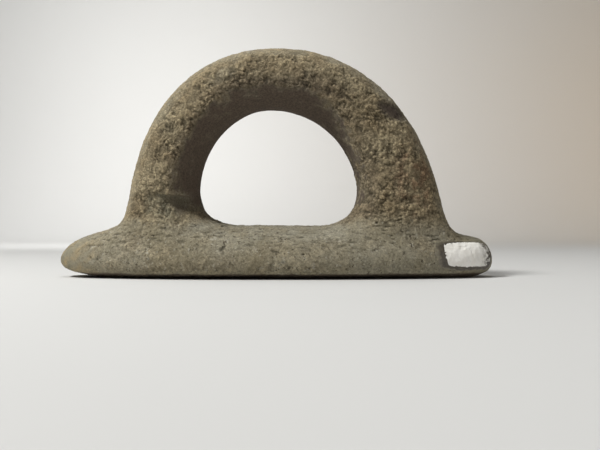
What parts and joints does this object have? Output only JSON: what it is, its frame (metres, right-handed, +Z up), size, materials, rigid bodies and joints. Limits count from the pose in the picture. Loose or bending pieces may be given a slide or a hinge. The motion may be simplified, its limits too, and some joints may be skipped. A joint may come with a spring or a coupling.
{
  "type": "stone pounder",
  "caption": "Hand-held stone pounder: a boat-shaped base with a flat ground underside and an arched stirrup handle, pecked from one block, with a bare painted label patch.",
  "frame": {"origin": "middle of the flat underside that the pounder stands on", "axes": "+X along the base towards the labelled end, -Y to the front that the picture shows, +Z up through the handle"},
  "size_m": [0.2098, 0.0596, 0.1108],
  "materials": {
    "pecked_stone": "pecked and worn, matte",
    "clear_lacquer": "thin clear coat that darkens the stone",
    "white_paint": "brushed matte paint"
  },
  "bodies": {
    "root": {"stone_body": "pecked_stone", "label_lacquer": "clear_lacquer", "label_paint": "white_paint"}
  },
  "joints": []
}
